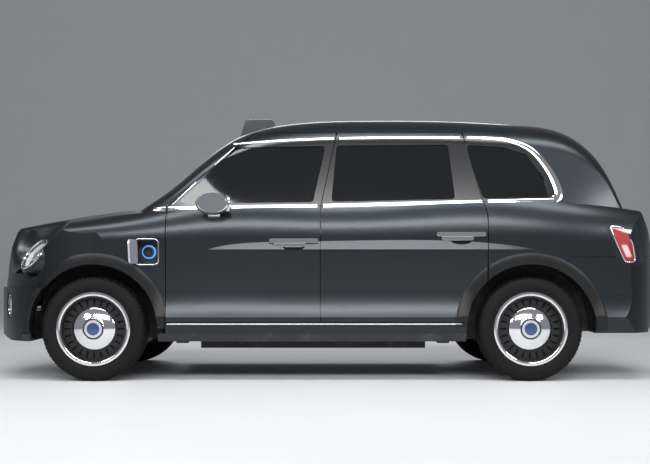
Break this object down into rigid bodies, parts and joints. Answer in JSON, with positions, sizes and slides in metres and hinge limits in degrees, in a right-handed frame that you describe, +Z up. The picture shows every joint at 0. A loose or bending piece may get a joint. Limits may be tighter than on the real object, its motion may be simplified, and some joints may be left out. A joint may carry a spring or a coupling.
{
  "type": "taxi cab",
  "caption": "Five-door electric taxi cab with front-hinged doors, open charge flap, steered front wheels, bonnet, tailgate and blank roof sign.",
  "frame": {"origin": "on the ground under the middle of the body", "axes": "nose along -X, right side of the cab along +Y, +Z up"},
  "size_m": [4.78, 2.0912, 1.8859],
  "materials": {
    "paint": "dark blue-black metallic paint under clear coat",
    "glass": "dark tinted safety glass",
    "tyre": "road tyre rubber",
    "wheel_steel": "dark painted steel with chrome cap and trim ring",
    "cast_steel": "bare cast steel",
    "chrome": "bright chrome",
    "dark_plastic": "grained black plastic",
    "aluminium": "cast aluminium",
    "underbody": "black underbody coat",
    "lamp_clear": "clear lamp lens",
    "lamp_red": "red lamp lens",
    "sign": "gloss black housing with an amber front",
    "trim": "dark grey moulded trim",
    "upholstery": "black seat covering"
  },
  "bodies": {
    "body": {"battery_pack": "aluminium", "body_side_left": "paint", "body_side_right": "paint", "bulkhead": "underbody", "charge_socket": "dark_plastic", "dashboard": "dark_plastic", "driver_seat": "upholstery", "engine": "aluminium", "fixed_glass": "glass", "floor_pan": "underbody", "front_bumper": "paint", "front_lamps": "lamp_clear", "front_suspension": "cast_steel", "front_wing_left": "paint", "front_wing_right": "paint", "grille": "chrome", "partition": "trim", "rear_axle": "cast_steel", "rear_bench": "upholstery", "rear_bumper": "paint", "roof": "paint", "roof_sign": "sign", "tail_lamps": "lamp_red", "wheel_liners": "dark_plastic"},
    "door_front_left": {"door_front_left": "paint", "glass_front_left": "glass", "mirror_left": "chrome"},
    "door_rear_left": {"door_rear_left": "paint", "glass_rear_left": "glass"},
    "steering_left": {"knuckle_left": "cast_steel"},
    "road_wheel_front_left": {"wheel_front_left": "wheel_steel", "tyre_front_left": "tyre"},
    "road_wheel_rear_left": {"wheel_rear_left": "wheel_steel", "tyre_rear_left": "tyre"},
    "door_front_right": {"door_front_right": "paint", "glass_front_right": "glass", "mirror_right": "chrome"},
    "door_rear_right": {"door_rear_right": "paint", "glass_rear_right": "glass"},
    "steering_right": {"knuckle_right": "cast_steel"},
    "road_wheel_front_right": {"wheel_front_right": "wheel_steel", "tyre_front_right": "tyre"},
    "road_wheel_rear_right": {"wheel_rear_right": "wheel_steel", "tyre_rear_right": "tyre"},
    "bonnet": {"bonnet": "paint"},
    "tailgate": {"tailgate": "paint", "rear_screen": "glass"},
    "charge_flap": {"charge_flap": "paint"},
    "steering_wheel": {"steering_wheel": "dark_plastic"}
  },
  "joints": [
    {"name": "door_front_left_hinge", "type": "hinge", "parent": "body", "child": "door_front_left", "pos_m": [-1.098, -0.9385, 0.9], "axis": [0, 0, -1], "range_deg": [0, 65]},
    {"name": "door_rear_left_hinge", "type": "hinge", "parent": "body", "child": "door_rear_left", "pos_m": [-0.043, -0.9385, 0.9], "axis": [0, 0, -1], "range_deg": [0, 65]},
    {"name": "steer_left", "type": "hinge", "parent": "body", "child": "steering_left", "pos_m": [-1.596, -0.735, 0.357], "axis": [0, 0, 1], "range_deg": [-35, 35]},
    {"name": "wheel_front_left_spin", "type": "hinge", "parent": "steering_left", "child": "road_wheel_front_left", "pos_m": [-1.596, -0.795, 0.357], "axis": [0, 1, 0], "continuous": true},
    {"name": "wheel_rear_left_spin", "type": "hinge", "parent": "body", "child": "road_wheel_rear_left", "pos_m": [1.389, -0.795, 0.357], "axis": [0, 1, 0], "continuous": true},
    {"name": "door_front_right_hinge", "type": "hinge", "parent": "body", "child": "door_front_right", "pos_m": [-1.098, 0.9385, 0.9], "axis": [0, 0, 1], "range_deg": [0, 65]},
    {"name": "door_rear_right_hinge", "type": "hinge", "parent": "body", "child": "door_rear_right", "pos_m": [-0.043, 0.9385, 0.9], "axis": [0, 0, 1], "range_deg": [0, 65]},
    {"name": "steer_right", "type": "hinge", "parent": "body", "child": "steering_right", "pos_m": [-1.596, 0.735, 0.357], "axis": [0, 0, 1], "range_deg": [-35, 35]},
    {"name": "wheel_front_right_spin", "type": "hinge", "parent": "steering_right", "child": "road_wheel_front_right", "pos_m": [-1.596, 0.795, 0.357], "axis": [0, 1, 0], "continuous": true},
    {"name": "wheel_rear_right_spin", "type": "hinge", "parent": "body", "child": "road_wheel_rear_right", "pos_m": [1.389, 0.795, 0.357], "axis": [0, 1, 0], "continuous": true},
    {"name": "bonnet_hinge", "type": "hinge", "parent": "body", "child": "bonnet", "pos_m": [-1.2875, 0, 1.2375], "axis": [0, 1, 0], "range_deg": [0, 50]},
    {"name": "tailgate_hinge", "type": "hinge", "parent": "body", "child": "tailgate", "pos_m": [1.742, 0, 1.7365], "axis": [0, -1, 0], "range_deg": [0, 80]},
    {"name": "charge_flap_hinge", "type": "hinge", "parent": "body", "child": "charge_flap", "pos_m": [-1.304, -0.9182, 0.884], "axis": [0, 0, 1], "range_deg": [0, 100]},
    {"name": "steering_wheel_turn", "type": "hinge", "parent": "body", "child": "steering_wheel", "pos_m": [-0.715, 0.37, 1.035], "axis": [0.8829, 0, 0.4695], "range_deg": [-460, 460]}
  ],
  "couplings": [
    {"joint": "steer_right", "follows": "steer_left", "ratio": 1},
    {"joint": "steering_wheel_turn", "follows": "steer_left", "ratio": 12.857}
  ]
}
